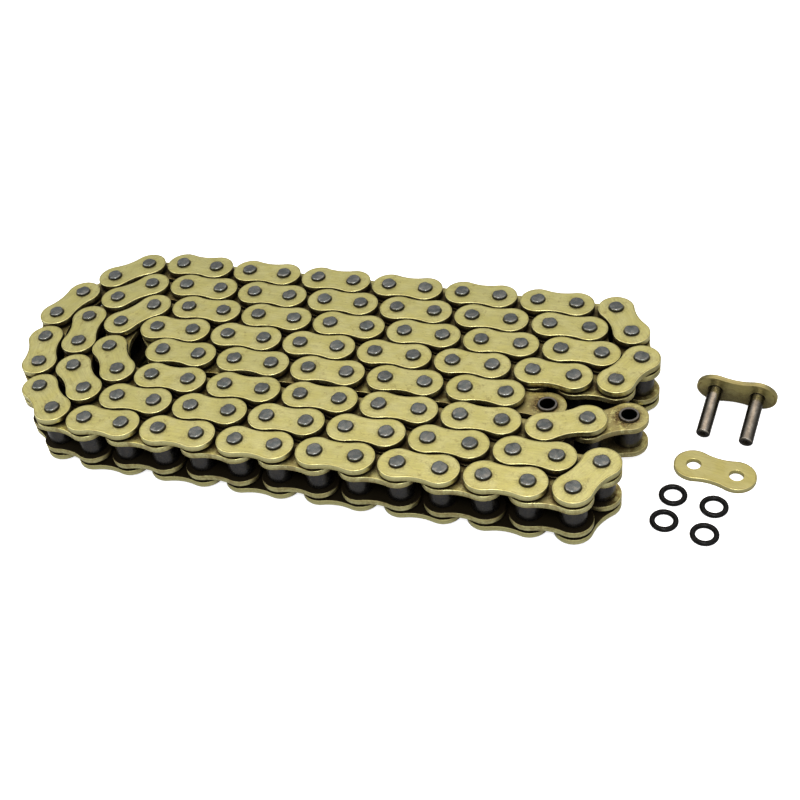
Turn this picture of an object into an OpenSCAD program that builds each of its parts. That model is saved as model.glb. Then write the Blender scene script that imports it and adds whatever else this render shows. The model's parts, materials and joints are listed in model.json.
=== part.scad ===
// Motorcycle drive chain with sealing rings, coiled flat on the floor, and the
// rivet connecting link that closes it: a plate with two pins, a cover plate and
// four loose sealing rings lying beside the coil.
//
// Frame: +Z up, the floor is z = 0, and the straight rows of the coil run along X.
// The origin is the lower end of the first pin of the coil.
// All sizes are in millimetres, all angles in degrees.

/* [Chain] */
// Distance between neighbouring pins
pitch = 15.875; // [15.8:0.005:15.95]
// Free width between the inner plates
inner_width = 9.53; // [9.3:0.01:9.7]
// Diameter of a roller
roller_d = 10.16; // [9.9:0.01:10.3]
// Diameter of a pin
pin_d = 5.24; // [5:0.01:5.4]
// Outer diameter of a bush
bush_d = 7.3; // [6.9:0.01:7.5]

/* [Plates] */
// Height of a plate across its round ends
plate_height = 14.5; // [14:0.1:14.6]
// Height of a plate across its waist
waist_height = 12; // [11.4:0.1:12.2]
// Thickness of the plates of the coil
plate_t = 2.4; // [2:0.05:2.5]
// Thickness of the two plates of the connecting link
link_plate_t = 2; // [1.8:0.05:2.4]

/* [Seals] */
// Gap between an inner and an outer plate, filled by a squeezed ring
seal_gap = 1.25; // [1.1:0.01:1.4]
// Cord thickness of a sealing ring
cord_d = 2; // [1.8:0.01:2.1]
// Outer diameter of a loose sealing ring
ring_d = 10.3; // [10:0.01:10.6]

/* [Pin ends] */
// Height of a riveted pin head over its plate
head_h = 1.3; // [0.6:0.05:1.5]
// Diameter of a riveted pin head
head_d = 5.7; // [5.5:0.05:6.4]
// Length of a connecting pin beyond its plate
link_pin_l = 21; // [20:0.1:22.5]

/* [Coil layout] */
// Distance between neighbouring rows of the coil
row_step = 14.08; // [14.05:0.01:14.12]
// Distance between the two rows that hold the open ends
open_row_step = 15.08; // [15.05:0.01:15.12]

/* [Loose parts] */
// Angle of the connecting link's plate to the rows
link_angle = -6; // [-15:1:5]
// Angle of the cover plate to the rows
cover_angle = -10.8; // [-20:0.1:0]

/* [Hidden] */
$fn = 96;
// Radial play of a pin in its bush, and of a roller on its bush
pin_play = 0.06;
roller_play = 0.08;
// Play of a roller between its plates, at each end
roller_end_play = 0.15;
// Play of a squeezed ring against each plate, and around its bush
seal_play = 0.01;
// Length of bush that stands out of each inner plate
bush_proud = 0.95;
// Chamfers of the bush mouths, pin heads, roller edges and connecting pins
mouth_chamfer = 0.25;
head_chamfer = 0.35;
roller_chamfer = 0.3;
tip_chamfer = 0.4;
// Extra radius of a connecting pin where its riveted end swells inside its plate
seat_swell = 0.02;
// Conical dimple in the free end of a connecting pin
dimple_r = 1.4;
dimple_depth = 1.1;
// Extra length that makes a cut pass right through
past = 1;

// Levels of the chain above the floor
lower_outer_z = head_h;
lower_seal_z = lower_outer_z + plate_t;
lower_inner_z = lower_seal_z + seal_gap;
gap_z = lower_inner_z + plate_t;
upper_inner_z = gap_z + inner_width;
upper_seal_z = upper_inner_z + plate_t;
upper_outer_z = upper_seal_z + seal_gap;
plates_top_z = upper_outer_z + plate_t;
chain_top_z = plates_top_z + head_h;

// Plate outline: two round ends, joined on each side by a hollow arc
end_r = plate_height / 2;
waist = waist_height / 2;
waist_r = ((pitch / 2) ^ 2 + waist ^ 2 - end_r ^ 2) / (2 * (end_r - waist));
// Where the hollow arcs leave the round end at the origin
arc_centre = [pitch / 2, waist + waist_r];
joint_point = end_r * arc_centre / norm(arc_centre);

// Turns of the coil: the heading of each link, in path order. The link that ends
// a turn closes it onto its row, so its heading follows from the row distances.
function unit(a) = [cos(a), sin(a)];
function sum(v, from = 0) = from < len(v) ? v[from] + sum(v, from + 1) : 0;
function rise(turn) = pitch * sum([for (a = turn) sin(a)]);
function closed(turn, across) = concat(turn, asin((across - rise(turn)) / pitch));
function closed_back(turn, across) = concat(turn, 180 - asin((across - rise(turn)) / pitch));
function row(links, heading) = [for (i = [1:links]) heading];

first_turn = closed([123], row_step);
back_turn = closed_back([-2, 2, 62.5, 113], 3 * row_step);
outer_bend = closed([-170, -137, -125, -108, -79, -71, -60, -43], -6 * row_step - open_row_step);
front_turn = closed([], row_step);
middle_bend = closed([174, 133, 110, 101, 66, 45], 4 * row_step + open_row_step);
inner_turn = closed([], -row_step);
inner_bend = closed([-174, -127, -81, -52], -2 * row_step - open_row_step);

// Heading of every link of the coil between its two free ends
headings = concat(
    row(9, 180), first_turn,
    row(9, 0), back_turn,
    row(12, 180), outer_bend,
    row(12, 0), front_turn,
    row(12, 180), middle_bend,
    row(11, 0), inner_turn,
    row(11, 180), inner_bend,
    row(10, 0)
);
links = len(headings);

// Free links at the two ends: an inner link at the first end, then an outer and
// an inner link at the last end
first_link_angle = -1.5;
last_outer_angle = 25;
last_link_angle = 29;

// Pins of the coil, from the first one at the origin
steps = concat([for (a = headings) pitch * unit(a)], [[0, 0]]);
pins = [for (i = 0, at = [0, 0]; i <= links; at = at + steps[i], i = i + 1) at];
last_pin = pins[links];
end_pin = last_pin + pitch * unit(last_outer_angle);

// Outer and inner links take turns, and the coil starts and ends with an outer one
outer_links = [0:2:links - 2];
inner_links = [1:2:links - 1];

// Pins whose rollers can be seen and turned: the front row and the outer bend
front_start = 9 + len(first_turn) + 9 + len(back_turn) + 12 + len(outer_bend);
front_rollers = 13;
bend_rollers = len(outer_bend);
bend_start = front_start - bend_rollers;

// Places of the loose parts
link_at = [74.2, 32.4];
cover_at = [70.8, -3.55];
ring_places = [[65.5, -19.7], [80.3, -22.5], [64.1, -32.5], [78.6, -36.1]];
// The connecting link leans on its pin tips and the rim of its plate
link_tilt = atan((end_r - pin_d / 2) / (link_pin_l - tip_chamfer));

plate_colour = [0.83, 0.77, 0.47];
pin_colour = [0.42, 0.42, 0.44];
bush_colour = [0.25, 0.25, 0.26];
roller_colour = [0.14, 0.14, 0.15];
ring_colour = [0.06, 0.06, 0.06];

// ---- Pieces, each standing at the origin ----

// A link plate with its first hole at the origin and its second one pitch along X
module plate(hole_d, thickness) {
    difference() {
        union() {
            for (x = [0, pitch])
                translate([x, 0, 0])
                    cylinder(r = end_r, h = thickness);
            translate([joint_point.x, -joint_point.y, 0])
                cube([pitch - 2 * joint_point.x, 2 * joint_point.y, thickness]);
        }
        for (side = [-1, 1])
            translate([arc_centre.x, side * arc_centre.y, -past])
                cylinder(r = waist_r, h = thickness + 2 * past);
        for (x = [0, pitch])
            translate([x, 0, -past])
                cylinder(d = hole_d, h = thickness + 2 * past);
    }
}

// A pin riveted at both ends, from the floor to the top of the chain
module rivet_pin() {
    rotate_extrude()
        polygon([
            [0, 0],
            [head_d / 2 - head_chamfer, 0],
            [head_d / 2, head_chamfer],
            [head_d / 2, head_h],
            [pin_d / 2, head_h],
            [pin_d / 2, plates_top_z],
            [head_d / 2, plates_top_z],
            [head_d / 2, chain_top_z - head_chamfer],
            [head_d / 2 - head_chamfer, chain_top_z],
            [0, chain_top_z]
        ]);
}

// A bush with a chamfered mouth at each end
module bush() {
    bore_r = pin_d / 2 + pin_play;
    low = lower_inner_z - bush_proud;
    high = upper_seal_z + bush_proud;
    rotate_extrude()
        polygon([
            [bore_r + mouth_chamfer, low],
            [bush_d / 2, low],
            [bush_d / 2, high],
            [bore_r + mouth_chamfer, high],
            [bore_r, high - mouth_chamfer],
            [bore_r, low + mouth_chamfer]
        ]);
}

// A roller, free to turn on its bush
module roller() {
    bore_r = bush_d / 2 + roller_play;
    low = gap_z + roller_end_play;
    high = upper_inner_z - roller_end_play;
    rotate_extrude()
        polygon([
            [bore_r, low],
            [roller_d / 2 - roller_chamfer, low],
            [roller_d / 2, low + roller_chamfer],
            [roller_d / 2, high - roller_chamfer],
            [roller_d / 2 - roller_chamfer, high],
            [bore_r, high]
        ]);
}

// A sealing ring stretched over a bush end and squeezed flat between two plates
module squeezed_ring(z) {
    cord_r = cord_d / 2;
    translate([0, 0, z + seal_gap / 2])
        rotate_extrude()
            translate([bush_d / 2 + seal_play + cord_r, 0])
                intersection() {
                    circle(r = cord_r);
                    square([2 * cord_d, seal_gap - 2 * seal_play], center = true);
                }
}

// A sealing ring lying free on the floor
module loose_ring() {
    translate([0, 0, cord_d / 2])
        rotate_extrude()
            translate([(ring_d - cord_d) / 2, 0])
                circle(d = cord_d);
}

// A connecting pin: tapered head behind the plate, plain shank with a dimpled tip
module connecting_pin() {
    rotate_extrude()
        polygon([
            [0, -link_plate_t - head_h],
            [head_d / 2 - head_chamfer, -link_plate_t - head_h],
            [head_d / 2, -link_plate_t],
            [pin_d / 2 + seat_swell, -link_plate_t],
            [pin_d / 2, 0],
            [pin_d / 2, link_pin_l - tip_chamfer],
            [pin_d / 2 - tip_chamfer, link_pin_l],
            [dimple_r, link_pin_l],
            [0, link_pin_l - dimple_depth]
        ]);
}

// ---- Placing ----

// Moves a piece from the origin to a pin of the coil
module at_pin(i) {
    translate(pins[i])
        children();
}

// Moves a link's piece from the X axis onto a link of the coil
module on_link(i) {
    at_pin(i)
        rotate(headings[i])
            children();
}

// Moves a link's piece onto the free inner link at the first end
module on_first_link() {
    rotate(first_link_angle)
        children();
}

// Moves a link's piece onto the free outer link at the last end
module on_last_outer() {
    translate(last_pin)
        rotate(last_outer_angle)
            children();
}

// Moves a link's piece onto the free inner link at the last end
module on_last_link() {
    translate(end_pin)
        rotate(last_link_angle)
            children();
}

// Lays the connecting link on its pin tips and plate rim, pins to the front
module on_connecting_link() {
    translate([link_at.x, link_at.y, end_r * cos(link_tilt)])
        rotate(link_angle)
            rotate([90 + link_tilt, 0, 0])
                children();
}

module both_holes() {
    for (x = [0, pitch])
        translate([x, 0, 0])
            children();
}

module outer_plate(z) {
    color(plate_colour)
        translate([0, 0, z])
            plate(pin_d, plate_t);
}

module inner_plate(z) {
    color(plate_colour)
        translate([0, 0, z])
            plate(bush_d, plate_t);
}

// ---- The coil ----

module outer_plates_upper() {
    for (i = outer_links)
        on_link(i)
            outer_plate(upper_outer_z);
}

module outer_plates_lower() {
    for (i = outer_links)
        on_link(i)
            outer_plate(lower_outer_z);
}

module inner_plates_upper() {
    for (i = inner_links)
        on_link(i)
            inner_plate(upper_inner_z);
}

module inner_plates_lower() {
    for (i = inner_links)
        on_link(i)
            inner_plate(lower_inner_z);
}

// Two pins for each outer link, from the first pin to the one before the last
module rivet_pins() {
    color(pin_colour)
        for (i = [0:links - 1])
            at_pin(i)
                rivet_pin();
}

// Two bushes for each inner link, from the second pin to the last
module bushes() {
    color(bush_colour)
        for (i = [1:links])
            at_pin(i)
                bush();
}

// The rollers that have no node of their own
module rollers() {
    color(roller_colour)
        for (i = [1:links])
            if (i < bend_start || i >= front_start + front_rollers)
                at_pin(i)
                    roller();
}

module sealing_rings_upper() {
    color(ring_colour)
        for (i = [1:links])
            at_pin(i)
                squeezed_ring(upper_seal_z);
}

module sealing_rings_lower() {
    color(ring_colour)
        for (i = [1:links])
            at_pin(i)
                squeezed_ring(lower_seal_z);
}

module front_roller(i) {
    color(roller_colour)
        at_pin(front_start + i - 1)
            roller();
}

module bend_roller(i) {
    color(roller_colour)
        at_pin(bend_start + i - 1)
            roller();
}

// ---- The free inner link at the first end ----

module first_link_plate_upper() {
    on_first_link()
        inner_plate(upper_inner_z);
}

module first_link_plate_lower() {
    on_first_link()
        inner_plate(lower_inner_z);
}

module first_link_bushes() {
    color(bush_colour)
        on_first_link()
            both_holes()
                bush();
}

module first_link_sealing_rings() {
    color(ring_colour)
        for (z = [lower_seal_z, upper_seal_z])
            squeezed_ring(z);
}

module first_link_roller() {
    color(roller_colour)
        roller();
}

module first_link_open_roller() {
    color(roller_colour)
        on_first_link()
            translate([pitch, 0, 0])
                roller();
}

// ---- The free links at the last end ----

module last_outer_plate_upper() {
    on_last_outer()
        outer_plate(upper_outer_z);
}

module last_outer_plate_lower() {
    on_last_outer()
        outer_plate(lower_outer_z);
}

module last_outer_pins() {
    color(pin_colour)
        on_last_outer()
            both_holes()
                rivet_pin();
}

module last_link_plate_upper() {
    on_last_link()
        inner_plate(upper_inner_z);
}

module last_link_plate_lower() {
    on_last_link()
        inner_plate(lower_inner_z);
}

module last_link_bushes() {
    color(bush_colour)
        on_last_link()
            both_holes()
                bush();
}

module last_link_sealing_rings() {
    color(ring_colour)
        on_last_link()
            for (z = [lower_seal_z, upper_seal_z])
                squeezed_ring(z);
}

module last_link_roller() {
    color(roller_colour)
        on_last_link()
            roller();
}

module last_link_open_roller() {
    color(roller_colour)
        on_last_link()
            translate([pitch, 0, 0])
                roller();
}

// ---- The connecting link set ----

module connecting_plate() {
    color(plate_colour)
        on_connecting_link()
            translate([0, 0, -link_plate_t])
                plate(pin_d, link_plate_t);
}

module connecting_pin_left() {
    color(pin_colour)
        on_connecting_link()
            connecting_pin();
}

module connecting_pin_right() {
    color(pin_colour)
        on_connecting_link()
            translate([pitch, 0, 0])
                connecting_pin();
}

module cover_plate() {
    color(plate_colour)
        translate([cover_at.x, cover_at.y, 0])
            rotate(cover_angle)
                plate(pin_d, link_plate_t);
}

module loose_sealing_ring(i) {
    color(ring_colour)
        translate(ring_places[i - 1])
            loose_ring();
}

outer_plates_upper();
outer_plates_lower();
inner_plates_upper();
inner_plates_lower();
rivet_pins();
bushes();
rollers();
sealing_rings_upper();
sealing_rings_lower();
first_link_plate_upper();
first_link_plate_lower();
first_link_bushes();
first_link_sealing_rings();
first_link_open_roller();
first_link_roller();
last_outer_plate_upper();
last_outer_plate_lower();
last_outer_pins();
last_link_plate_upper();
last_link_plate_lower();
last_link_bushes();
last_link_sealing_rings();
last_link_roller();
last_link_open_roller();
connecting_plate();
connecting_pin_left();
connecting_pin_right();
cover_plate();
for (i = [1:len(ring_places)])
    loose_sealing_ring(i);
for (i = [1:front_rollers])
    front_roller(i);
for (i = [1:bend_rollers])
    bend_roller(i);
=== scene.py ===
"""The looks of a coiled drive chain and its loose connecting link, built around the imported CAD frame.

Every solid of every CAD node gets a finer piece in the same place: the places are read from the
frame's own solids. Sizes are in millimetres times MM, because the scene is in metres.
"""

import json
import math

import bpy
import numpy as np
from mathutils import Matrix, Vector
from mathutils.geometry import tessellate_polygon


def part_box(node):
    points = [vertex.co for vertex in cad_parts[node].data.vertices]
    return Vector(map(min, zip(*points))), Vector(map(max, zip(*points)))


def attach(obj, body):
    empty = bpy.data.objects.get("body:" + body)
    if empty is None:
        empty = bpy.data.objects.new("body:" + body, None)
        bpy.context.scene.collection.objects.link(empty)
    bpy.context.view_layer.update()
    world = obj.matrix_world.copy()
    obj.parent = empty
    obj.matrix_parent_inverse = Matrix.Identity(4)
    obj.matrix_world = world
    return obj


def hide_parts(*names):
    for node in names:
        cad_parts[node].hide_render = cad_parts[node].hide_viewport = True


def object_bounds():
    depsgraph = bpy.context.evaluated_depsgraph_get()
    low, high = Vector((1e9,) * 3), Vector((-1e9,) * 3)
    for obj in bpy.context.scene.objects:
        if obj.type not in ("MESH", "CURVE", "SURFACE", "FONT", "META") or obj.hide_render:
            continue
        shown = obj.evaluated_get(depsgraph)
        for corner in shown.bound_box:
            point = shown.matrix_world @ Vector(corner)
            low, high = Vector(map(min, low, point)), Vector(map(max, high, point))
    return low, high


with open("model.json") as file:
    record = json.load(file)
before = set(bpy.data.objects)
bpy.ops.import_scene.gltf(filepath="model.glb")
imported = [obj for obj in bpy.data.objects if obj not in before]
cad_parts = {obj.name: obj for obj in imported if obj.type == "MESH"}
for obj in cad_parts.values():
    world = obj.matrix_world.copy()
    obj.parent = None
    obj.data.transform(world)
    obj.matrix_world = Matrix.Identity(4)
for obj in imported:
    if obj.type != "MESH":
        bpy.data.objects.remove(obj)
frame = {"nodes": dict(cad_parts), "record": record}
cad_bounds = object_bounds()
record = frame["record"]
random = np.random.default_rng(530)

MM = 0.001

# ---- Sizes, from the frame ----

MOUNTS = {m["name"]: m for m in record["mounts"]}


def height_of(node):
    low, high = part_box(node)
    return high.z - low.z


def mount_point(name):
    return Vector(MOUNTS[name]["pos_m"])


PITCH = (mount_point("cover_hole_right") - mount_point("cover_hole_left")).length
PIN_R = MOUNTS["cover_hole_left"]["dims"]["r_mm"] * MM
BORE_R = MOUNTS["first_end_bore"]["dims"]["r_mm"] * MM
LINK_PIN_L = MOUNTS["link_pin_left"]["dims"]["length_mm"] * MM
PLATE_T = height_of("outer_plates_upper")
LINK_PLATE_T = height_of("cover_plate")
CHAIN_H = height_of("rivet_pins")
HEAD_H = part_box("outer_plates_lower")[0].z
BUSH_L = height_of("bushes")
ROLLER_L = height_of("front_roller_1")
ROLLER_R = (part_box("front_roller_1")[1].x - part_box("front_roller_1")[0].x) / 2
SEAL_H = height_of("sealing_rings_upper")
COIL_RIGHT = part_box("outer_plates_upper")[1].x
CORD_R = height_of("loose_sealing_ring_1") / 2
RING_R = (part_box("loose_sealing_ring_1")[1].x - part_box("loose_sealing_ring_1")[0].x) / 2

# Sizes that the frame's boxes don't give, as in the CAD
END_R = 7.25 * MM
WAIST = 6 * MM
BUSH_R = 3.65 * MM
HEAD_R = 2.85 * MM
ROLLER_PLAY = 0.08 * MM
SEAL_PLAY = 0.01 * MM
MOUTH_CHAMFER = 0.25 * MM
TIP_CHAMFER = 0.4 * MM
DIMPLE_R = 1.4 * MM
DIMPLE_DEPTH = 1.1 * MM

# Distance at which an extra loop stands beside a rounded edge, so that flats stay flat when shaded
HOLD = 0.03 * MM


# ---- Outlines ----


def corner(before, at, after, radius, steps):
    """Points that round a corner between two straight lines, with a holding point at each side."""
    at = Vector(at)
    into, out = (Vector(before) - at).normalized(), (Vector(after) - at).normalized()
    start, end = at + into * radius, at + out * radius
    points = [start + into * HOLD]
    for i in range(steps + 1):
        t = i / steps
        points.append(start * (1 - t) ** 2 + at * 2 * t * (1 - t) + end * t * t)
    points.append(end + out * HOLD)
    return [tuple(p) for p in points]


def rounded(corners, steps=3):
    """A profile of (distance from axis, height, rounding radius) corners as plain points."""
    points = []
    count = len(corners)
    for i, (r, z, radius) in enumerate(corners):
        if radius == 0:
            points.append((r, z))
            continue
        before, after = corners[i - 1][:2], corners[(i + 1) % count][:2]
        points += corner(before, (r, z), after, radius, steps)
    return points


# ---- Shapes: each is (points, faces, rim distances), standing at its own origin ----


def lathe(profile, segments, closed):
    """A profile turned about Z. A closed profile makes a ring; an open one starts and ends on the axis."""
    turn = np.arange(segments) * 2 * math.pi / segments
    ring_profile = profile if closed else profile[1:-1]
    points = [(r * math.cos(a), r * math.sin(a), z) for r, z in ring_profile for a in turn]
    faces = []
    rings = len(ring_profile)
    for i in range(rings if closed else rings - 1):
        low, high = i * segments, (i + 1) % rings * segments
        for k in range(segments):
            n = (k + 1) % segments
            faces.append((low + k, low + n, high + n, high + k))
    if not closed:
        bottom, top = len(points), len(points) + 1
        points += [(0, 0, profile[0][1]), (0, 0, profile[-1][1])]
        last = (rings - 1) * segments
        for k in range(segments):
            n = (k + 1) % segments
            faces.append((n, k, bottom))
            faces.append((last + k, last + n, top))
    return np.array(points), faces, np.zeros(len(points))


CAP_STEPS = 22
WAIST_STEPS = 8
WAIST_R = ((PITCH / 2) ** 2 + WAIST**2 - END_R**2) / (2 * (END_R - WAIST))
LEAN = math.atan2(WAIST + WAIST_R, PITCH / 2)


def plate_outline(inward):
    """The plate's outline, moved inward: two round ends joined by hollow arcs, counter-clockwise."""
    points = []
    for side in (0, 1):
        half_turn = side * math.pi
        x = PITCH / 2 * math.cos(half_turn)
        for i in range(CAP_STEPS):
            a = half_turn - (math.pi - LEAN) + 2 * (math.pi - LEAN) * i / CAP_STEPS
            r = END_R - inward
            points.append((x + r * math.cos(a), r * math.sin(a)))
        y = (WAIST + WAIST_R) * math.cos(half_turn)
        for i in range(WAIST_STEPS):
            a = half_turn - LEAN - (math.pi - 2 * LEAN) * i / WAIST_STEPS
            r = WAIST_R + inward
            points.append((r * math.cos(a), y + r * math.sin(a)))
    return points


HOLE_STEPS = 32
# How far each rounding runs inward, as a share of its height, and where the wall's middle loop stands
INNER_RUN = 1.2
OUTER_RUN = 1.3
WALL_LOOP = 0.45
# Rings that carry the distance from the rim across the flat, for the finish along the edge
FLAT_RINGS = (1.0 * MM, 1.9 * MM)


def wall_loops(thickness, outer_round, inner_round):
    """How far inward and how high each loop of a plate's outer wall stands, from the inner face up."""
    inner_run, outer_run = inner_round * INNER_RUN, outer_round * OUTER_RUN
    loops = [(inner_run + HOLD, 0)]
    for i in range(4):
        a = i / 3 * math.pi / 2
        loops.append((inner_run * (1 - math.sin(a)), inner_round * (1 - math.cos(a))))
    loops.append((0, thickness * WALL_LOOP))
    for i in range(5):
        a = i / 4 * math.pi / 2
        loops.append((outer_run * (1 - math.cos(a)), thickness - outer_round * (1 - math.sin(a))))
    loops.append((outer_run + HOLD, thickness))
    return loops + [(inward, thickness) for inward in FLAT_RINGS]


def hole_loops(hole_r, thickness, hole_round):
    """The radius and the height of each loop of a hole's wall, from the inner face up."""
    lip = hole_r + hole_round
    return [
        (lip + HOLD, 0), (lip, 0), (hole_r, hole_round),
        (hole_r, thickness - hole_round), (lip, thickness), (lip + HOLD, thickness),
    ]


def wall_faces(start, loops, count, hole=False):
    """Faces that join loops of count points each. start: number of the first loop's first point."""
    faces = []
    for low in range(start, start + (loops - 1) * count, count):
        for k in range(count):
            a, b = low + k, low + (k + 1) % count
            faces.append((b, a, a + count, b + count) if hole else (a, b, b + count, a + count))
    return faces


def flat_face(points, borders, top):
    """Triangles that fill a flat face inside its first border and outside the others."""
    flat = [[Vector((points[i][0], points[i][1], 0)) for i in border] for border in borders]
    index = [i for border in borders for i in border]
    faces = []
    for triangle in tessellate_polygon(flat):
        a, b, c = (index[i] for i in triangle)
        first, second, third = (Vector(points[i]) for i in (a, b, c))
        area = (second - first).cross(third - first).z
        faces.append((a, b, c) if (area > 0) == top else (a, c, b))
    return faces


def plate(hole_r, thickness, outer_round=0.28 * MM, inner_round=0.2 * MM, hole_round=0.12 * MM):
    """A stamped link plate about its middle, from its inner face at z = 0 to its outer face."""
    points, rim = [], []
    wall = wall_loops(thickness, outer_round, inner_round)
    for inward, z in wall:
        outline = plate_outline(inward)
        points += [(x, y, z) for x, y in outline]
        rim += [inward] * len(outline)
    count = len(outline)
    faces = wall_faces(0, len(wall), count)
    hole = hole_loops(hole_r, thickness, hole_round)
    turn = [k * 2 * math.pi / HOLE_STEPS for k in range(HOLE_STEPS)]
    hole_starts = []
    for x in (-PITCH / 2, PITCH / 2):
        hole_starts.append(len(points))
        faces += wall_faces(len(points), len(hole), HOLE_STEPS, hole=True)
        for r, z in hole:
            points += [(x + r * math.cos(a), r * math.sin(a), z) for a in turn]
            rim += [FLAT_RINGS[-1]] * HOLE_STEPS
    for top in (False, True):
        outer_start = (len(wall) - 1) * count if top else 0
        hole_ring = (len(hole) - 1) * HOLE_STEPS if top else 0
        borders = [range(outer_start, outer_start + count)]
        borders += [range(s + hole_ring, s + hole_ring + HOLE_STEPS) for s in hole_starts]
        faces += flat_face(points, borders, top)
    return np.array(points), faces, np.array(rim)


# Each rivet head: its rounded edge, its two stake marks and the slight lean of its struck face
EDGE_WIDTH = 0.52 * MM
EDGE_DROP = 0.45 * MM
STAKE_FROM = 0.55 * HEAD_R
STAKE_TURN = 0.42
STAKE_DEPTH = 0.3 * MM
STAKE_SINK = 0.16 * MM
SPREAD_AT = 0.62
SPREAD_TURN = 0.25
SPREAD_OUT = 0.05 * MM
STRIKE_LEAN = 0.035
UNDERCUT = 0.16 * MM


def stake_heads(shape, levels):
    """Presses two opposite stake marks into each head, spreads the metal beside them and leans the face.

    levels: the heights of each head's face and of the plate behind it.
    """
    points, faces, rim = shape
    points = points.copy()
    turn = np.arctan2(points[:, 1], points[:, 0])
    radius = np.hypot(points[:, 0], points[:, 1])
    for face_z, plate_z in levels:
        share = np.clip((points[:, 2] - plate_z) / (face_z - plate_z), 0, 1)
        outer = share * (radius > STAKE_FROM)
        away = np.abs(np.sin(turn))
        dent = np.exp(-((away / STAKE_TURN) ** 2)) * outer
        spread = np.exp(-(((away - SPREAD_AT) / SPREAD_TURN) ** 2)) * outer
        scale = 1 - (STAKE_DEPTH * dent - SPREAD_OUT * spread) / np.maximum(radius, PIN_R)
        lean = STRIKE_LEAN * (points[:, 0] * 0.5 + points[:, 1] - HEAD_R) * share
        points[:, 0] *= scale
        points[:, 1] *= scale
        points[:, 2] += np.sign(face_z - plate_z) * (lean - STAKE_SINK * dent * np.abs(np.cos(turn)))
    return points, faces, rim


def rivet_pin(segments=32):
    """A pin with a staked head at each end, from the floor up."""
    under = CHAIN_H - HEAD_H
    flat_r = HEAD_R - EDGE_WIDTH
    head = [(0, CHAIN_H), (flat_r * 0.6, CHAIN_H), (flat_r - HOLD * 2, CHAIN_H)]
    for i in range(6):
        a = i / 5 * math.pi / 2
        head.append((flat_r + EDGE_WIDTH * math.sin(a), CHAIN_H - EDGE_DROP * (1 - math.cos(a))))
    head += [(HEAD_R - 0.1 * MM, under + 0.2 * MM), (HEAD_R - UNDERCUT, under), (PIN_R, under)]
    lower = [(r, CHAIN_H - z) for r, z in head]
    profile = lower + [(PIN_R, CHAIN_H / 2)] + head[::-1]
    return stake_heads(lathe(profile, segments, closed=False), [(CHAIN_H, under), (0, HEAD_H)])


def connecting_pin():
    """A connecting pin from its plate's inner face at z = 0, with its head behind the plate."""
    length = LINK_PIN_L + TIP_CHAMFER
    back = -LINK_PLATE_T
    head = [
        (0, back - HEAD_H), (HEAD_R * 0.45, back - HEAD_H + 0.02 * MM),
        (HEAD_R - 0.55 * MM, back - HEAD_H + 0.08 * MM), (HEAD_R - 0.36 * MM, back - HEAD_H + 0.2 * MM),
        (HEAD_R - 0.2 * MM, back - HEAD_H * 0.5),
        (HEAD_R - 0.02 * MM, back - 0.1 * MM), (HEAD_R - 0.05 * MM, back),
        (PIN_R, back), (PIN_R, back + HOLD), (PIN_R, length * 0.5),
    ]
    tip = rounded([
        (PIN_R, length * 0.5, 0), (PIN_R, length - TIP_CHAMFER, 0.12 * MM),
        (PIN_R - TIP_CHAMFER, length, 0.1 * MM), (DIMPLE_R, length, 0.14 * MM),
        (0, length - DIMPLE_DEPTH, 0),
    ])
    floor_of_dimple = [(DIMPLE_R * 0.3, length - DIMPLE_DEPTH * 0.86)]
    profile = head + tip[1:-1] + floor_of_dimple + tip[-1:]
    return stake_heads(lathe(profile, 64, closed=False), [(back - HEAD_H, back)])


def bush(segments):
    """A bush about its middle, with a rounded lip at each chamfered mouth."""
    half = BUSH_L / 2
    lip = BORE_R + MOUTH_CHAMFER
    profile = rounded([
        (BORE_R, half - MOUTH_CHAMFER, 0.1 * MM), (BORE_R, -half + MOUTH_CHAMFER, 0.1 * MM),
        (lip, -half, 0.1 * MM), (BUSH_R, -half, 0.12 * MM),
        (BUSH_R, half, 0.12 * MM), (lip, half, 0.1 * MM),
    ], steps=2)
    return lathe(profile, segments, closed=True)


ROLLER_CHAMFER = 0.3 * MM
CROWN = 0.02 * MM
CROWN_END = 0.4 * MM


def roller(segments):
    """A roller about its middle, with rounded ends and a slightly crowned barrel."""
    half, bore = ROLLER_L / 2, BUSH_R + ROLLER_PLAY
    profile = rounded([
        (bore, half, 0.1 * MM), (bore, -half, 0.1 * MM),
        (ROLLER_R - ROLLER_CHAMFER, -half, 0.08 * MM), (ROLLER_R - CROWN, -half + CROWN_END, 0.25 * MM),
        (ROLLER_R, 0, 0),
        (ROLLER_R - CROWN, half - CROWN_END, 0.25 * MM), (ROLLER_R - ROLLER_CHAMFER, half, 0.08 * MM),
    ], steps=2)
    return lathe(profile, segments, closed=True)


def cord(radius, half_height, steps):
    """The section of a ring's cord: a circle cut flat at half_height."""
    points = []
    for i in range(steps):
        a = -i * 2 * math.pi / steps
        z = max(-half_height, min(half_height, radius * math.sin(a)))
        points.append((radius * math.cos(a), z))
    return points


def seal(middle, half_height, steps, segments):
    """A sealing ring about its middle; one lower than its cord is pressed flat between two plates."""
    section = cord(CORD_R, half_height, steps)
    return lathe([(middle + r, z) for r, z in section][::-1], segments, closed=True)


# ---- Places, read from the frame's solids ----


def solids(node):
    """The points of each separate solid of a CAD node."""
    mesh = frame["nodes"][node].data
    points = np.empty(len(mesh.vertices) * 3)
    mesh.vertices.foreach_get("co", points)
    points, index = np.unique(points.reshape(-1, 3).round(6), axis=0, return_inverse=True)
    edges = np.empty(len(mesh.edges) * 2, np.int64)
    mesh.edges.foreach_get("vertices", edges)
    a, b = index.ravel()[edges].reshape(-1, 2).T
    label = np.arange(len(points))
    while True:
        lowest = np.minimum(label[a], label[b])
        merged = label.copy()
        np.minimum.at(merged, a, lowest)
        np.minimum.at(merged, b, lowest)
        merged = merged[merged]
        if (merged == label).all():
            break
        label = merged
    return [points[label == name] for name in np.unique(label)]


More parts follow.
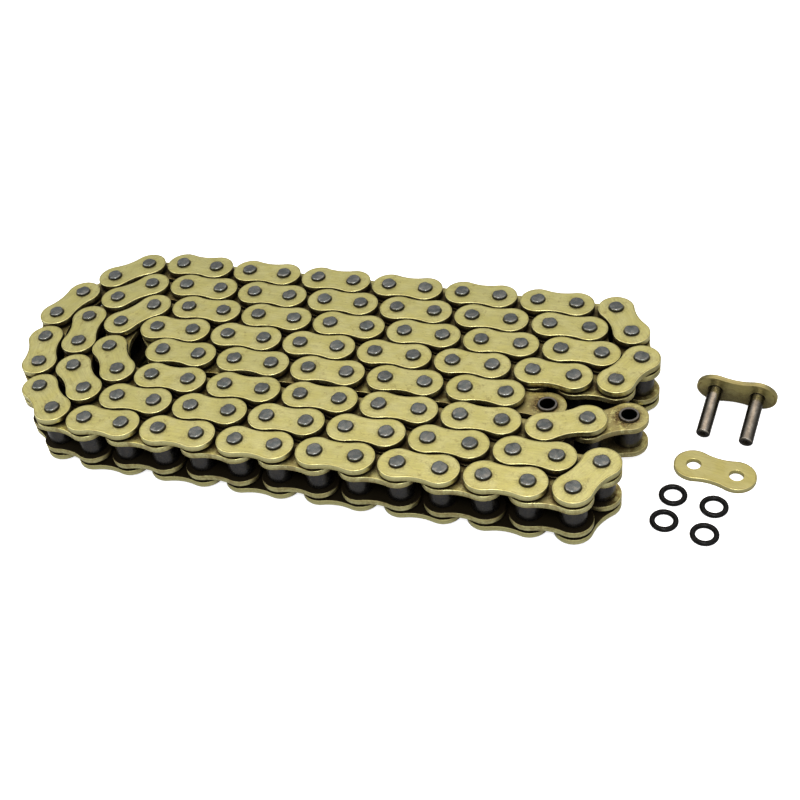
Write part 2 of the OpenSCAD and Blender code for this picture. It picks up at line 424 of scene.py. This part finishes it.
def middle_of(points):
    return Vector((points.min(0) + points.max(0)) / 2)


def upright(node, spin=False):
    """A place at the middle of each solid of a node, turned at random about Z if spin is set."""
    found = solids(node)
    turns = random.uniform(0, 2 * math.pi, len(found)) if spin else np.zeros(len(found))
    return [
        Matrix.Translation(middle_of(points)) @ Matrix.Rotation(turn, 4, "Z")
        for points, turn in zip(found, turns)
    ]


# How near its furthest point a plate's points must be to show which way it lies
NEAR_TIP = 0.5 * MM


def along_link(node, face_up):
    """A place at the middle of each plate of a node, X along the plate and Z out of its outer face."""
    places = []
    for points in solids(node):
        middle = middle_of(points)
        flat = points[:, :2] - np.array(middle)[:2]
        reach = np.hypot(flat[:, 0], flat[:, 1])
        far = flat[reach > reach.max() - NEAR_TIP]
        far = far * np.sign(far @ far[0])[:, None]
        x, y = far.mean(0)
        inner_z = middle.z - (1 if face_up else -1) * (points[:, 2].max() - points[:, 2].min()) / 2
        place = Matrix.Translation((middle.x, middle.y, inner_z)) @ Matrix.Rotation(math.atan2(y, x), 4, "Z")
        places.append(place if face_up else place @ Matrix.Rotation(math.pi, 4, "X"))
    return places


def on_pin(name):
    """The place of a connecting pin: at its plate's inner face, Z along the pin, X to the other pin."""
    axis = Vector(MOUNTS[name]["axis"])
    across = (mount_point("link_pin_right") - mount_point("link_pin_left")).normalized()
    start = mount_point(name) - axis * LINK_PIN_L / 2
    turn = Matrix((across, axis.cross(across), axis)).transposed().to_4x4()
    return Matrix.Translation(start) @ turn


def link_plate_place():
    """The place of the connecting plate: between its pins, with its outer face away from the tips."""
    left, right = on_pin("link_pin_left"), on_pin("link_pin_right")
    middle = left.copy()
    middle.translation = (left.translation + right.translation) / 2
    return middle @ Matrix.Rotation(math.pi, 4, "X")


def base(places, drop):
    """Places moved along their own Z, from a piece's middle to its low end."""
    return [p @ Matrix.Translation((0, 0, -drop)) for p in places]


# ---- Materials ----


class Shader:
    """Builds one procedural material.

    local, spread, x, y and z are millimetres in each piece's own frame. rim, the distance from a plate's
    edge, and place_x and height, the place in the scene, are in metres.
    """

    def __init__(self, name):
        self.material = bpy.data.materials.new(name)
        self.material.use_nodes = True
        self.tree = self.material.node_tree
        self.surface = self.tree.nodes["Principled BSDF"]
        self.local = self.add("ShaderNodeAttribute", attribute_name="local").outputs["Vector"]
        self.seed = self.add("ShaderNodeAttribute", attribute_name="seed").outputs["Fac"]
        self.rim = self.add("ShaderNodeAttribute", attribute_name="rim").outputs["Fac"]
        self.x, self.y, self.z = self.add("ShaderNodeSeparateXYZ", [self.local]).outputs
        shift = self.vector("SCALE", self.vector("ADD", self.seed, (0.13, 0.71, 0.37)), scale=83)
        self.spread = self.vector("ADD", self.local, shift)
        place = self.add("ShaderNodeNewGeometry")
        self.normal = place.outputs["Normal"]
        self.place_x, _, self.height = self.add("ShaderNodeSeparateXYZ", [place.outputs["Position"]]).outputs

    def add(self, kind, inputs=(), **settings):
        made = self.tree.nodes.new(kind)
        for key, value in settings.items():
            setattr(made, key, value)
        pairs = inputs.items() if isinstance(inputs, dict) else enumerate(inputs)
        for key, value in pairs:
            self.feed(made.inputs[key], value)
        return made

    def feed(self, socket, value):
        if isinstance(value, bpy.types.NodeSocket):
            self.tree.links.new(value, socket)
        elif value is not None:
            socket.default_value = value

    def math(self, operation, a, b=None):
        return self.add("ShaderNodeMath", [a, b], operation=operation).outputs[0]

    def vector(self, operation, a, b=None, scale=None):
        made = self.add("ShaderNodeVectorMath", [a, b], operation=operation)
        if scale is not None:
            self.feed(made.inputs["Scale"], scale)
        return made.outputs["Value" if operation in ("LENGTH", "DOT_PRODUCT", "DISTANCE") else "Vector"]

    def noise(self, at, scale=1.0, detail=2.0, roughness=0.5):
        settings = {"Vector": at, "Scale": scale, "Detail": detail, "Roughness": roughness}
        return self.add("ShaderNodeTexNoise", settings).outputs[0]

    def stretch(self, along, across, turn=0.0):
        """Coordinates drawn out along the piece, for brush marks."""
        turned = self.add("ShaderNodeVectorRotate", {"Vector": self.spread, "Angle": turn},
                          rotation_type="Z_AXIS").outputs[0]
        return self.vector("MULTIPLY", turned, (along, across, across))

    def band(self, value, low, high, to_low=0.0, to_high=1.0):
        """value, mapped smoothly from low..high to to_low..to_high."""
        return self.add("ShaderNodeMapRange", [value, low, high, to_low, to_high],
                        interpolation_type="SMOOTHSTEP").outputs[0]

    def mix(self, share, a, b):
        made = self.add("ShaderNodeMix", data_type="RGBA")
        self.feed(made.inputs[0], share)
        self.feed(made.inputs[6], a)
        self.feed(made.inputs[7], b)
        return made.outputs[2]

    def near_hole(self, low, high, far=0.0):
        """1 at the edge of a plate's holes, falling to far further out."""
        beside = self.math("SUBTRACT", self.math("ABSOLUTE", self.x), PITCH / 2 / MM)
        squares = self.math("ADD", self.math("POWER", beside, 2.0), self.math("POWER", self.y, 2.0))
        away = self.math("SQRT", squares)
        return self.band(away, low, high, 1.0, far)

    def openness(self, reach, wall=0.0):
        """1 on open faces, 0 where neighbours within reach cover the view. Walls don't count the floor."""
        seen = self.add("ShaderNodeAmbientOcclusion", {"Distance": reach}, samples=8).outputs["AO"]
        floor_share = self.math("MULTIPLY", self.band(self.height, 0.0, reach, 0.5, 0.0), wall)
        return self.math("DIVIDE", seen, self.math("SUBTRACT", 1.0, floor_share))

    def round_tangent(self, axis):
        """Directions round a turned piece with this axis, for the streak along its length."""
        return self.vector("CROSS_PRODUCT", tuple(axis), self.normal)

    def bump(self, height, depth):
        settings = {"Height": height, "Strength": 1.0, "Distance": depth}
        return self.add("ShaderNodeBump", settings).outputs[0]

    def finish(self, **inputs):
        for key, value in inputs.items():
            self.feed(self.surface.inputs[key.replace("_", " ")], value)
        return self.material


GOLD = (0.80, 0.745, 0.275, 1)
GOLD_PALE = (0.86, 0.815, 0.36, 1)
GOLD_GREEN = (0.67, 0.655, 0.25, 1)
GOLD_PINK = (0.84, 0.70, 0.34, 1)
WALL_GREY = (0.55, 0.54, 0.30, 1)
TORN_GOLD = (0.40, 0.36, 0.15, 1)
DARK_LINE = (0.26, 0.205, 0.07, 1)
GREASE_AND_SHADE_BROWN = (0.16, 0.092, 0.02, 1)
BARE_STEEL = (0.4, 0.4, 0.42, 1)
RUBBER_BLACK = (0.003, 0.003, 0.003, 1)
RUBBER_WORN = (0.007, 0.007, 0.007, 1)
RUBBER_DUST = (0.03, 0.03, 0.029, 1)
OIL_AND_SHADE_BLACK = (0.008, 0.0065, 0.0045, 1)


def scratches(s):
    """Fine scratches that cross the brushing at two angles."""
    scratch = s.band(s.noise(s.stretch(0.22, 6.0, 0.55), detail=1), 0.66, 0.74)
    cross = s.band(s.noise(s.stretch(0.3, 5.0, -0.9), detail=1), 0.68, 0.76)
    return s.math("MAXIMUM", scratch, s.math("MULTIPLY", cross, 0.7))


def plating(s, streak, fine, mottle, marks, wall, torn):
    """The plating's own colour: drifting tones, brush marks, a darker line by the edge, and the wall."""
    cloud = s.noise(s.spread, 0.16, 3)
    line_end = s.band(s.rim, 0.46 * MM, 0.68 * MM, 1.0, 0.0)
    line = s.math("MULTIPLY", s.band(s.rim, 0.3 * MM, 0.42 * MM), line_end)
    dark_edge_line = s.math("MULTIPLY", line, s.band(s.noise(s.spread, 0.35, 2), 0.4, 0.6, 0.25, 1.0))
    colour = s.mix(s.band(cloud, 0.35, 0.65), GOLD, GOLD_PALE)
    colour = s.mix(s.band(s.seed, 0.0, 1.0, 0.0, 0.3), colour, GOLD_GREEN)
    colour = s.mix(s.band(mottle, 0.42, 0.66, 0.0, 0.22), colour, GOLD_PINK)
    colour = s.mix(s.band(streak, 0.3, 0.7, 0.16, 0.0), colour, DARK_LINE)
    colour = s.mix(s.band(fine, 0.3, 0.7, 0.12, 0.0), colour, DARK_LINE)
    colour = s.mix(s.math("MULTIPLY", marks, 0.28), colour, DARK_LINE)
    colour = s.mix(s.math("MULTIPLY", dark_edge_line, 0.78), colour, DARK_LINE)
    colour = s.mix(s.math("MULTIPLY", wall, 0.65), colour, WALL_GREY)
    return s.mix(s.math("MULTIPLY", torn, 0.5), colour, TORN_GOLD)


def stains(s, grease, ring_r, mottle, between):
    """How strongly dirt stains the faces: in smears, round the holes and along the edge."""
    smear = s.band(s.noise(s.spread, 0.3, 4, 0.7), 0.62 - 0.27 * grease, 0.8 - 0.33 * grease)
    smear = s.math("MULTIPLY", smear, s.near_hole(ring_r, ring_r + 5.0, 1 - 0.4 * grease))
    smear = s.math("MULTIPLY", smear, between)
    patch = s.band(s.noise(s.spread, 0.55, 4, 0.7), 0.48 - 0.14 * grease, 0.62 - 0.12 * grease)
    ring = s.math("MULTIPLY", s.near_hole(ring_r, ring_r + 1.7 + grease), patch)
    edge = s.band(s.rim, 0.2 * MM, 1.8 * MM, 1.0, 0.0)
    edge_dirt = s.math("MULTIPLY", edge, s.band(mottle, 0.5, 0.75))
    amount = 0.35 + 0.62 * grease
    dirt = s.math("MAXIMUM", s.math("MULTIPLY", smear, amount), s.math("MULTIPLY", ring, amount))
    return s.math("MAXIMUM", dirt, s.math("MULTIPLY", edge_dirt, 0.2 + 0.6 * grease))


def foot_shadow_and_oil_spots(s, grease, ring_r, mottle, between, strength):
    """A painted contact shadow round what stands in the holes, a dark foot close to it, and oily spots spilt
    further out.
    """
    foot = s.math("MULTIPLY", s.near_hole(ring_r + 0.15, ring_r + 0.6), strength)
    spots = s.band(mottle, 0.42, 0.56, 0.0, 0.95 * grease)
    spill = s.math("MULTIPLY", s.near_hole(ring_r + 0.4, ring_r + 3.2, 0.2), spots)
    return s.math("MAXIMUM", foot, s.math("MULTIPLY", spill, between))


def plated_steel(name, grease, thickness, ring_r, foot=0.95, shade_tint=0.0, covered_shade=1.0, inside=0.45):
    """Gold-plated steel, brushed along the link, with a torn wall, grease, and painted shade in covered
    places and round the feet.

    grease: how stained the faces are. ring_r: radius of what stands in the holes, in millimetres.
    foot: strength of the dark foot round it, a painted contact shadow. dull: least share of the grease
    colour, a darker tint over the whole plate, painted shade. film: strength of the painted shade, partly
    grease, in covered places.
    inside: how much more painted shade lies on the inner face, as a share of the open view.
    """
    s = Shader(name)
    streak = s.noise(s.stretch(0.16, 1.5), detail=3, roughness=0.6)
    fine = s.noise(s.stretch(0.35, 7.0, 0.05), detail=2)
    mottle = s.noise(s.spread, 1.6, 4, 0.65)
    marks = scratches(s)
    # The stamped wall round the plate, and its torn half next to the inner face
    wall = s.band(s.rim, 0.1 * MM, 0.18 * MM, 1.0, 0.0)
    torn = s.math("MULTIPLY", wall, s.band(s.z, thickness / MM * 0.3, thickness / MM * 0.62, 1.0, 0.0))
    # Dirt gathers between the holes, where the next link's plate ends
    half_pitch = PITCH / 2 / MM
    between = s.band(s.math("ABSOLUTE", s.x), half_pitch - 4.5, half_pitch + 1.5, 1.0, 1 - 0.5 * grease)
    dirt = stains(s, grease, ring_r, mottle, between)

    # Painted shade, partly grease: covered places take the brown grease colour, and the most covered the
    # near-black colour.
    # Inner faces take more of this painted shade, less towards the coil's right end
    inner_shade = s.band(s.place_x, COIL_RIGHT - 14 * MM, COIL_RIGHT - 6 * MM, inside, 0.1 * inside)
    inner_face = s.math("MULTIPLY", s.band(s.z, 0.15, 0.35, 1.0, 0.0), inner_shade)
    openness = s.math("SUBTRACT", s.openness(16 * MM, wall), inner_face)
    uneven = s.math("ADD", openness, s.band(s.noise(s.spread, 0.45, 3, 0.65), 0.35, 0.65, -0.12, 0.12))
    shade_and_grease = s.math("MULTIPLY", s.band(uneven, 0.4, 0.68, 0.93, 0.0), covered_shade)
    feet = foot_shadow_and_oil_spots(s, grease, ring_r, mottle, between, foot)
    # Painted shade: the most covered places and the painted contact shadow round each foot take the
    # near-black colour, with real oily spots
    oil_and_shade = s.math("MAXIMUM", feet, s.math("MULTIPLY", s.band(openness, 0.24, 0.64, 1.0, 0.0), covered_shade))

    colour = plating(s, streak, fine, mottle, marks, wall, torn)
    colour = s.mix(s.math("MAXIMUM", s.math("MAXIMUM", dirt, shade_and_grease), shade_tint), colour, GREASE_AND_SHADE_BROWN)
    colour = s.mix(s.math("MULTIPLY", oil_and_shade, 0.97), colour, OIL_AND_SHADE_BLACK)
    rough = s.math("ADD", s.band(streak, 0.3, 0.7, -0.05, 0.06), 0.36)
    rough = s.math("ADD", rough, s.band(mottle, 0.3, 0.7, -0.03, 0.04))
    rough = s.math("ADD", rough, s.math("MULTIPLY", wall, -0.02))
    rough = s.math("ADD", rough, s.math("MULTIPLY", torn, 0.2))
    metal = s.math("SUBTRACT", 1.0, s.math("MULTIPLY", s.math("MAXIMUM", dirt, oil_and_shade), 0.6))
    relief = s.math("ADD", s.math("MULTIPLY", streak, 0.5), s.math("MULTIPLY", fine, 0.6))
    relief = s.math("SUBTRACT", relief, s.math("MULTIPLY", marks, 0.6))
    relief = s.math("ADD", relief, s.math("MULTIPLY", torn, s.noise(s.stretch(2.4, 2.4), detail=3)))
    normal = s.bump(relief, 0.012 * MM)
    shine = s.band(oil_and_shade, 0.3, 1.0, 0.5, 0.08)
    return s.finish(
        Base_Color=colour, Metallic=metal, Roughness=rough, Normal=normal, Specular_IOR_Level=shine,
    )


def dark_steel(
    name, colour, tint, roughness, scuff=0.3, coat=0.0, skirt=0.0, turned=0.0, axis=(0, 0, 1), shy=0.0,
    tip=0.0, bore=0.0,
):
    """Blackened or oiled steel with cloudy tone and scuffs, and painted shade in covered places.

    skirt: how far below each end face the dark foot of a head starts, painted shade on the head's wall.
    turned:
    strength of the turning marks round the axis. shy: how much darker it is where it turns away from the
    eye, painted
    shade. tip: height of a dark end face with a dimple, with painted shade in the dimple. bore: radius of a
    bore that is painted near-black inside, painted shade in the hole.
    """
    s = Shader(name)
    cloud = s.noise(s.spread, 0.5, 3)
    grain = s.noise(s.spread, 4.0, 4, 0.7)
    scratch = s.band(s.noise(s.stretch(0.4, 5.0, 0.8), detail=1), 0.64, 0.74)
    tone = s.mix(s.band(cloud, 0.32, 0.68), colour, tint)
    bright = tuple(min(1, 2.2 * c) for c in colour[:3]) + (1,)
    tone = s.mix(s.band(grain, 0.5, 0.75, 0.0, scuff), tone, bright)
    tone = s.mix(s.math("MULTIPLY", scratch, scuff * 0.6), tone, BARE_STEEL)
    rough = s.math("ADD", s.band(cloud, 0.3, 0.7, -0.05, 0.07), roughness)
    rough = s.math("ADD", rough, s.band(grain, 0.3, 0.7, -0.03, 0.05))
    metal, relief, tangent = 0.95, s.math("MULTIPLY", grain, 0.6), None
    # Painted shade: the head's wall below its rounded edge is dark and not metallic
    if skirt:
        half = CHAIN_H / 2 / MM
        from_middle = s.math("ABSOLUTE", s.math("SUBTRACT", s.z, half))
        foot = s.band(from_middle, half - skirt - 0.08, half - skirt, 1.0, 0.0)
        tone = s.mix(foot, tone, OIL_AND_SHADE_BLACK)
        metal = s.math("MULTIPLY", s.math("SUBTRACT", 1.0, foot), metal)
        rough = s.math("ADD", rough, s.math("MULTIPLY", foot, 0.3))
    if turned:
        height = s.add("ShaderNodeCombineXYZ", [0.0, s.seed, s.z]).outputs[0]
        relief = s.math("ADD", relief, s.math("MULTIPLY", s.noise(height, 9.0, 3, 0.7), turned))
        tangent = s.round_tangent(axis)
    # Painted shade: darker where the surface turns away from the eye
    if shy:
        away = s.add("ShaderNodeLayerWeight").outputs["Facing"]
        tone = s.mix(s.band(away, 0.03, 0.5, 0.0, shy), tone, OIL_AND_SHADE_BLACK)
    across = s.vector("LENGTH", s.vector("MULTIPLY", s.local, (1, 1, 0)))
    # Painted shade: the inside of the bore is near-black
    if bore:
        tone = s.mix(s.band(across, bore - 0.05, bore + 0.05, 0.97, 0.0), tone, OIL_AND_SHADE_BLACK)
    # A darker end face, with painted shade in the dimple
    if tip:
        hollow = s.band(across, DIMPLE_R / MM - 0.1, DIMPLE_R / MM, 0.95, 0.0)
        dimple = s.math("MULTIPLY", hollow, s.band(s.z, 0.0, 1.0))
        tone = s.mix(s.math("MAXIMUM", s.band(s.z, tip - 0.1, tip, 0.0, 0.45), dimple), tone, OIL_AND_SHADE_BLACK)
    # Painted shade: covered places take the near-black colour
    tone = s.mix(s.band(s.openness(6 * MM), 0.1, 0.7, 1.0, 0.0), tone, OIL_AND_SHADE_BLACK)
    return s.finish(
        Base_Color=tone, Metallic=metal, Roughness=rough, Normal=s.bump(relief, 0.01 * MM), Coat_Weight=coat,
        Anisotropic=0.75 if turned else 0.0, Tangent=tangent,
    )


def rubber(name):
    """Black rubber with a faint oily sheen and dust."""
    s = Shader(name)
    cloud = s.noise(s.spread, 0.8, 3)
    grain = s.noise(s.spread, 7.0, 3, 0.6)
    tone = s.mix(s.band(cloud, 0.35, 0.7), RUBBER_BLACK, RUBBER_WORN)
    tone = s.mix(s.band(grain, 0.62, 0.78, 0.0, 0.5), tone, RUBBER_DUST)
    rough = s.math("ADD", s.band(cloud, 0.3, 0.7, -0.06, 0.08), 0.24)
    return s.finish(
        Base_Color=tone, Metallic=0.0, Roughness=rough, Specular_IOR_Level=0.12,
        Normal=s.bump(grain, 0.008 * MM),
    )


OUTER = plated_steel("gold_outer_plates", grease=0.25, thickness=PLATE_T, ring_r=HEAD_R / MM)
INNER = plated_steel("gold_inner_plates", grease=0.65, thickness=PLATE_T, ring_r=BUSH_R / MM)
FREE_INNER = plated_steel(
    "gold_end_plates", grease=1.0, thickness=PLATE_T, ring_r=BUSH_R / MM, inside=0.12,
)
# The loose link's plates, connecting and cover: a darker tint over each whole plate, painted shade
LINK = plated_steel(
    "gold_connecting_plate", grease=0.3, thickness=LINK_PLATE_T, ring_r=PIN_R / MM,
    shade_tint=0.46, covered_shade=0.75, inside=0.12,
)
COVER = plated_steel(
    "gold_cover_plate", grease=0.0, thickness=LINK_PLATE_T, ring_r=PIN_R / MM,
    foot=0.0, shade_tint=0.26, covered_shade=0.3,
)
PIN = dark_steel(
    "pin_steel", colour=(0.17, 0.185, 0.18, 1), tint=(0.22, 0.22, 0.205, 1), roughness=0.24,
    scuff=0.12, skirt=0.45,
)
LONG_PIN = dark_steel(
    "connecting_pin_steel", colour=(0.42, 0.385, 0.33, 1), tint=(0.25, 0.225, 0.19, 1), roughness=0.24,
    scuff=0.2, turned=0.5, axis=MOUNTS["link_pin_left"]["axis"], shy=0.97,
    tip=(LINK_PIN_L + TIP_CHAMFER) / MM - 0.1,
)
BUSH = dark_steel(
    "bush_steel", colour=(0.14, 0.135, 0.13, 1), tint=(0.20, 0.18, 0.16, 1), roughness=0.3,
    scuff=0.4, bore=(BORE_R + MOUTH_CHAMFER) / MM,
)
ROLLER = dark_steel(
    "roller_steel", colour=(0.062, 0.064, 0.07, 1), tint=(0.095, 0.09, 0.086, 1), roughness=0.3,
    scuff=0.25, coat=0.2, turned=0.7, shy=0.6,
)
RUBBER = rubber("black_rubber")


# ---- Building ----

BODY_OF = {node: body for body, nodes in record["behaviour"]["bodies"].items() for node in nodes}


def build(node, shape, places, material):
    """Joins one copy of a shape for each place into a piece that stands for a CAD node."""
    points, faces, rim = shape
    sizes = np.array([len(f) for f in faces])
    corners = np.array([i for f in faces for i in f])
    count, copies = len(points), len(places)
    mesh = bpy.data.meshes.new(node + ".shown")
    mesh.vertices.add(count * copies)
    mesh.loops.add(len(corners) * copies)
    mesh.polygons.add(len(faces) * copies)
    turned = []
    for place in places:
        m = np.array(place)
        turned.append(points @ m[:3, :3].T + m[:3, 3])
    mesh.vertices.foreach_set("co", np.concatenate(turned).astype(np.float32).ravel())
    index = (corners[None, :] + np.arange(copies)[:, None] * count).ravel()
    mesh.loops.foreach_set("vertex_index", index.astype(np.int32))
    starts = np.concatenate([[0], np.cumsum(np.tile(sizes, copies))[:-1]])
    mesh.polygons.foreach_set("loop_start", starts.astype(np.int32))
    mesh.polygons.foreach_set("use_smooth", np.ones(len(faces) * copies, bool))
    mesh.update(calc_edges=True)
    seeds = random.uniform(0, 1, copies)
    local = mesh.attributes.new("local", "FLOAT_VECTOR", "POINT")
    local.data.foreach_set("vector", np.tile(points / MM, (copies, 1)).astype(np.float32).ravel())
    seed = mesh.attributes.new("seed", "FLOAT", "POINT")
    seed.data.foreach_set("value", np.repeat(seeds, count).astype(np.float32))
    edge = mesh.attributes.new("rim", "FLOAT", "POINT")
    edge.data.foreach_set("value", np.tile(rim, copies).astype(np.float32))
    mesh.materials.append(material)
    mesh.validate()
    piece = bpy.data.objects.new(node + ".shown", mesh)
    bpy.context.scene.collection.objects.link(piece)
    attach(piece, BODY_OF[node])
    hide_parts(node)


# Segments round a turned piece: fewer where a node holds a hundred of them, out of sight
FINE = 56
PLAIN = 28

outer_plate = plate(PIN_R, PLATE_T)
inner_plate = plate(BUSH_R, PLATE_T)
link_plate = plate(PIN_R, LINK_PLATE_T, hole_round=0.15 * MM)
pin_shape = rivet_pin()
seal_shape = seal(BUSH_R + SEAL_PLAY + CORD_R, SEAL_H / 2, steps=12, segments=40)
ring_shape = seal(RING_R - CORD_R, CORD_R, steps=24, segments=96)

for node in ("outer_plates_upper", "last_outer_plate_upper"):
    build(node, outer_plate, along_link(node, True), OUTER)
for node in ("outer_plates_lower", "last_outer_plate_lower"):
    build(node, outer_plate, along_link(node, False), OUTER)
build("inner_plates_upper", inner_plate, along_link("inner_plates_upper", True), INNER)
build("inner_plates_lower", inner_plate, along_link("inner_plates_lower", False), INNER)
for end in ("first_link", "last_link"):
    build(end + "_plate_upper", inner_plate, along_link(end + "_plate_upper", True), FREE_INNER)
    build(end + "_plate_lower", inner_plate, along_link(end + "_plate_lower", False), FREE_INNER)
for node in ("rivet_pins", "last_outer_pins"):
    build(node, pin_shape, base(upright(node, spin=True), CHAIN_H / 2), PIN)
for node, segments in (("bushes", PLAIN), ("first_link_bushes", FINE), ("last_link_bushes", FINE)):
    build(node, bush(segments), upright(node), BUSH)
for node in (
    "sealing_rings_upper", "sealing_rings_lower", "first_link_sealing_rings", "last_link_sealing_rings",
):
    build(node, seal_shape, upright(node), RUBBER)
for node in sorted(frame["nodes"]):
    if "roller" in node:
        build(node, roller(PLAIN if node == "rollers" else FINE), upright(node, spin=True), ROLLER)
    if node.startswith("loose_sealing_ring"):
        build(node, ring_shape, upright(node, spin=True), RUBBER)
build("connecting_plate", link_plate, [link_plate_place()], LINK)
build("cover_plate", link_plate, along_link("cover_plate", True), COVER)
for side in ("left", "right"):
    build("connecting_pin_" + side, connecting_pin(), [on_pin("link_pin_" + side)], LONG_PIN)


# ---- Stage, light and camera ----

low, high = (Vector(v) for v in cad_bounds)
centre = (low + high) / 2

# How bright the floor is in reflections, and how much it glows for the camera alone
FLOOR_REFLECTED = 0.45
FLOOR_GLOW = 0.75
FLOOR_WHITE = (1, 1, 1, 1)
# Near-black colour of the painted shade on the ground under the coil
FLOOR_SHADE_BLACK = (0.012, 0.009, 0.006, 1)
FLOOR_REACH = 3.0
# How far inside the open end the painted shade on the ground starts to fade
FLOOR_FADE = 18 * MM


def hull(points):
    """The corners of the smallest convex outline round some flat points, counter-clockwise."""
    points = sorted(points)
    outline = []
    for run in (points, points[::-1]):
        start = len(outline)
        for x, y in run:
            while len(outline) - start > 1:
                (ax, ay), (bx, by) = outline[-2:]
                if (bx - ax) * (y - ay) - (by - ay) * (x - ax) > 0:
                    break
                outline.pop()
            outline.append((x, y))
        outline.pop()
    return outline


def floor():
    """A plain white floor, with painted shade: a near-black patch of ground under the coil, seen through the
    gaps between the coil's rows.
    """
    pins = [middle_of(points) for points in solids("rivet_pins")]
    open_end = max(mount_point(name).x for name in ("first_end_bore", "last_end_bore"))
    # Painted shade: the ground under the coil, as far as the open end, is near-black
    dark = hull([(pin.x, pin.y) for pin in pins if pin.x < open_end])
    z = low.z - 0.01 * MM
    square = ((-1, -1), (1, -1), (1, 1), (-1, 1))
    edge = [(centre.x + x * FLOOR_REACH, centre.y + y * FLOOR_REACH) for x, y in square]
    flat = [[Vector((x, y, 0)) for x, y in border] for border in (edge, dark)]
    faces = [tuple(range(len(edge), len(edge) + len(dark)))] + [tuple(t) for t in tessellate_polygon(flat)]
    mesh = bpy.data.meshes.new("floor")
    mesh.from_pydata([(x, y, z) for x, y in edge + dark], [], faces)
    ground = bpy.data.objects.new("floor", mesh)
    bpy.context.scene.collection.objects.link(ground)
    for name, fades in (("floor_white", False), ("floor_painted_shade", True)):
        s = Shader(name)
        white = s.band(s.place_x, open_end - FLOOR_FADE, open_end) if fades else 1.0
        seen = s.add("ShaderNodeLightPath").outputs["Is Camera Ray"]
        level = s.math("ADD", s.math("MULTIPLY", seen, 1 - FLOOR_REFLECTED), FLOOR_REFLECTED)
        mesh.materials.append(s.finish(
            Base_Color=s.vector("SCALE", s.mix(white, FLOOR_SHADE_BLACK, FLOOR_WHITE), scale=level),
            Roughness=0.9, Emission_Color=FLOOR_WHITE,
            Emission_Strength=s.math("MULTIPLY", seen, s.math("MULTIPLY", white, FLOOR_GLOW)),
        ))
    mesh.polygons[0].material_index = 1


def sky():
    """A white background for the camera, and a softly graded grey room for the reflections."""
    world = bpy.data.worlds.new("studio")
    bpy.context.scene.world = world
    world.use_nodes = True
    tree = world.node_tree
    tree.nodes.clear()
    out = tree.nodes.new("ShaderNodeOutputWorld")
    mix = tree.nodes.new("ShaderNodeMixShader")
    seen = tree.nodes.new("ShaderNodeBackground")
    room = tree.nodes.new("ShaderNodeBackground")
    path = tree.nodes.new("ShaderNodeLightPath")
    coords = tree.nodes.new("ShaderNodeTexCoord")
    split = tree.nodes.new("ShaderNodeSeparateXYZ")
    ramp = tree.nodes.new("ShaderNodeValToRGB")
    seen.inputs["Color"].default_value = (1, 1, 1, 1)
    tree.links.new(coords.outputs["Generated"], split.inputs[0])
    tree.links.new(split.outputs["Z"], ramp.inputs[0])
    tree.links.new(ramp.outputs[0], room.inputs["Color"])
    tree.links.new(path.outputs["Is Camera Ray"], mix.inputs[0])
    tree.links.new(room.outputs[0], mix.inputs[1])
    tree.links.new(seen.outputs[0], mix.inputs[2])
    tree.links.new(mix.outputs[0], out.inputs[0])
    stops = ramp.color_ramp.elements
    levels = [(0.0, 0.3), (0.3, 0.34), (0.6, 0.46), (0.76, 0.95), (1.0, 0.66)]
    while len(stops) < len(levels):
        stops.new(0.5)
    for stop, (height, level) in zip(stops, levels):
        stop.position, stop.color = height, (level, level, level, 1)


def direction(azimuth, elevation):
    """Towards a place at these angles in degrees. Azimuth 0 is the front, and 90 is the right side."""
    a, e = math.radians(azimuth), math.radians(elevation)
    return Vector((math.sin(a) * math.cos(e), -math.cos(a) * math.cos(e), math.sin(e)))


def softbox(name, azimuth, elevation, distance, width, height, power, colour=(1, 1, 1)):
    """A rectangular soft light that faces the middle of the chain."""
    light = bpy.data.lights.new(name, "AREA")
    light.shape = "RECTANGLE"
    light.size, light.size_y, light.energy, light.color = width, height, power, colour
    lamp = bpy.data.objects.new(name, light)
    towards = direction(azimuth, elevation)
    lamp.location = centre + towards * distance
    lamp.rotation_euler = towards.to_track_quat("Z", "Y").to_euler()
    bpy.context.scene.collection.objects.link(lamp)


def camera():
    """The camera: seen from the front right, from well above, and leaning a little."""
    towards, roll = direction(azimuth=22.3, elevation=42.24), math.radians(-8.063)
    distance = 473 * MM
    aim = Vector((-38.11 * MM, -11.47 * MM, high.z - HEAD_H))
    data = bpy.data.cameras.new("camera")
    data.lens = 56.49
    data.sensor_width = 36
    data.clip_start = 0.01
    eye = bpy.data.objects.new("camera", data)
    turn = towards.to_track_quat("Z", "Y").to_matrix() @ Matrix.Rotation(roll, 3, "Z")
    eye.matrix_world = Matrix.Translation(aim + towards * distance) @ turn.to_4x4()
    bpy.context.scene.collection.objects.link(eye)
    bpy.context.scene.camera = eye


floor()
sky()
softbox(
    "key_overhead", azimuth=200, elevation=76, distance=1.1, width=1.6, height=0.62, power=3.45,
    colour=(1, 0.8, 0.62),
)
softbox("front_high", azimuth=15, elevation=58, distance=1.2, width=0.42, height=0.34, power=6)
softbox("front_fill", azimuth=35, elevation=26, distance=1.3, width=1.5, height=0.9, power=3.5)
softbox("left_strip", azimuth=-75, elevation=30, distance=1.2, width=0.4, height=0.9, power=3)
camera()
bpy.context.scene.view_settings.view_transform = "Standard"
